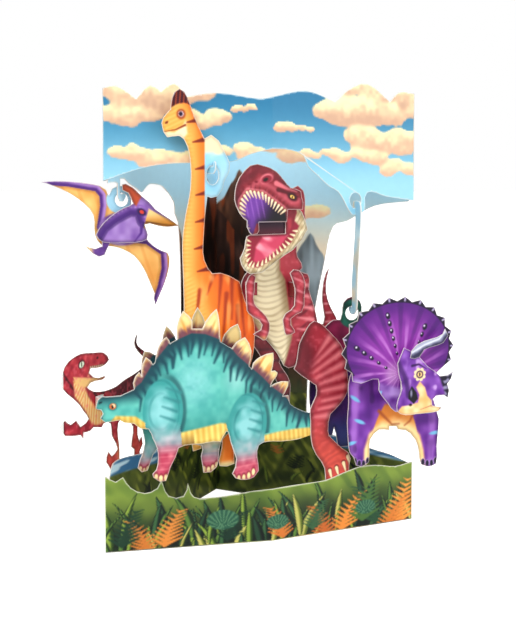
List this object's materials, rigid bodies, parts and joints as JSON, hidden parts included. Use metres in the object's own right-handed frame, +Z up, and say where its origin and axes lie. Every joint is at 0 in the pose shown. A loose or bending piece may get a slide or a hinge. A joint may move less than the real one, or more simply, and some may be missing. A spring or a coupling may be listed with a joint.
{
  "type": "swing card",
  "caption": "Stood-up pop-up card: a folded frame of printed card with die-cut dinosaurs, some hanging on card hooks so that they swing.",
  "frame": {"origin": "under the middle of the stood-up card's box, on the table", "axes": "+Z up, the front faces -Y, +X to the right seen from the front"},
  "size_m": [0.197, 0.1132, 0.222],
  "materials": {
    "sky_card": "coated",
    "ground_card": "coated",
    "rear_card": "coated",
    "crimson_card": "coated",
    "turquoise_card": "coated",
    "violet_card": "coated",
    "orange_card": "coated",
    "plain_card": "uncoated"
  },
  "bodies": {
    "root": {"front_sky": "sky_card", "front_ground": "ground_card", "rear_sheet": "rear_card", "runner": "crimson_card", "neck_brace": "crimson_card", "hunter_near_leg": "crimson_card", "hunter_torso": "crimson_card", "hunter_far_leg": "crimson_card", "hunter_left_arm": "crimson_card", "hunter_right_arm": "crimson_card", "hunter_left_arm_spacer": "crimson_card", "hunter_right_arm_spacer": "crimson_card", "hunter_mouth_plate": "crimson_card", "hunter_jaw": "crimson_card", "hunter_skull": "crimson_card", "hunter_mouth_spacer": "crimson_card", "hunter_skull_spacer": "crimson_card", "hunter_tail": "crimson_card", "hunter_tail_spacer": "crimson_card", "plated_near": "turquoise_card", "plated_far": "turquoise_card", "plated_front_spacer": "plain_card", "plated_rear_spacer": "plain_card", "plated_strip": "plain_card"},
    "flyer": {"flyer_wings": "violet_card", "flyer_body": "violet_card", "flyer_foot": "violet_card", "flyer_spacer": "plain_card"},
    "longneck": {"longneck": "orange_card"},
    "link": {"link": "sky_card"},
    "horned": {"horned_body": "violet_card", "horned_chest": "violet_card", "horned_frill": "violet_card", "horned_face": "violet_card", "horned_brow_horn": "violet_card", "horned_left_spacer": "plain_card", "horned_right_spacer": "plain_card", "horned_frill_spacer": "plain_card", "horned_face_spacer": "plain_card"}
  },
  "joints": [
    {"name": "flyer_swing", "type": "hinge", "parent": "root", "child": "flyer", "pos_m": [-0.06112, -0.0188, 0.1677], "axis": [0, 1, 0], "range_deg": [-12, 12]},
    {"name": "longneck_swing", "type": "hinge", "parent": "root", "child": "longneck", "pos_m": [-0.02252, -0.03905, 0.1804], "axis": [0, 1, 0], "range_deg": [-3, 4]},
    {"name": "link_swing", "type": "hinge", "parent": "root", "child": "link", "pos_m": [0.05332, -0.03238, 0.1603], "axis": [0, 1, 0], "range_deg": [-4, 4]},
    {"name": "horned_twist", "type": "hinge", "parent": "link", "child": "horned", "pos_m": [0.05332, -0.02857, 0.111], "axis": [0, 0, 1], "range_deg": [-8, 8]}
  ]
}
